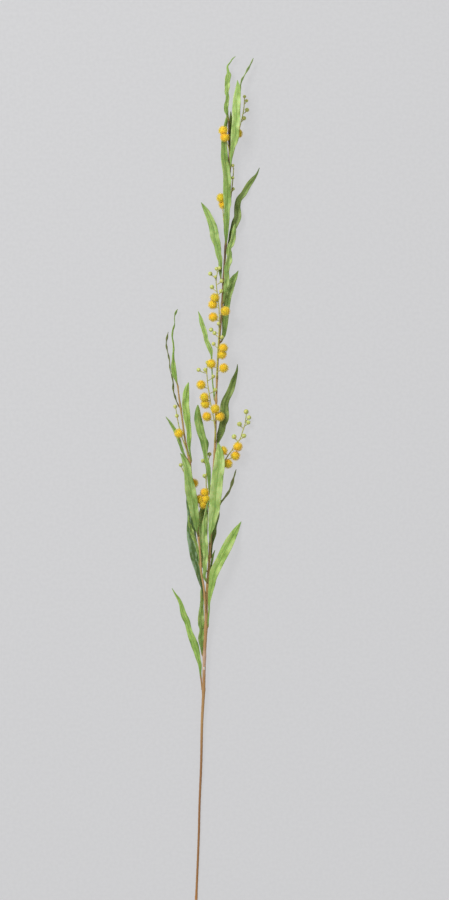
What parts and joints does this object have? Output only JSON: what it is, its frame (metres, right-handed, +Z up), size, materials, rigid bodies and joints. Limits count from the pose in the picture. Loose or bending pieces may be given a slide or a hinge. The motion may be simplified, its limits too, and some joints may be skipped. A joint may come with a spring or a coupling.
{
  "type": "mimosa sprig",
  "caption": "Cut mimosa sprig lying on a table: a long thin forked stem, long wavy leaves, round buds and fluffy yellow flower heads on thin stalks.",
  "frame": {"origin": "middle of the sprig's footprint, on the table that it lies on", "axes": "+X to the right as the picture shows it, +Y along the sprig from the cut end of the stem to the tips, +Z up from the table"},
  "size_m": [0.1132, 1.0124, 0.0281],
  "materials": {
    "bark": "brown, finely wrinkled, matt",
    "leaf": "fresh green on the face, greyer below, soft sheen",
    "flower": "fluffy golden yellow heads on yellow-green stalks with yellow-green buds"
  },
  "bodies": {
    "root": {"main_stem": "bark", "side_branch": "bark", "leaf_01": "leaf", "leaf_02": "leaf", "leaf_03": "leaf", "leaf_04": "leaf", "leaf_05": "leaf", "leaf_06": "leaf", "leaf_07": "leaf", "leaf_08": "leaf", "leaf_09": "leaf", "leaf_10": "leaf", "leaf_11": "leaf", "leaf_12": "leaf", "leaf_13": "leaf", "leaf_14": "leaf", "leaf_15": "leaf", "leaf_16": "leaf", "leaf_17": "leaf", "leaf_18": "leaf", "leaf_19": "leaf", "leaf_20": "leaf", "leaf_21": "leaf", "leaf_22": "leaf", "leaf_23": "leaf", "leaf_24": "leaf", "leaf_25": "leaf", "leaf_26": "leaf", "leaf_27": "leaf", "leaf_28": "leaf", "spray_low_centre": "flower", "spray_low_left": "flower", "spray_side_branch": "flower", "spray_right": "flower", "spray_middle_lower": "flower", "spray_middle_upper": "flower", "spray_upper_left": "flower", "spray_upper_right": "flower", "spray_top_left": "flower", "spray_top_right": "flower"}
  },
  "joints": []
}
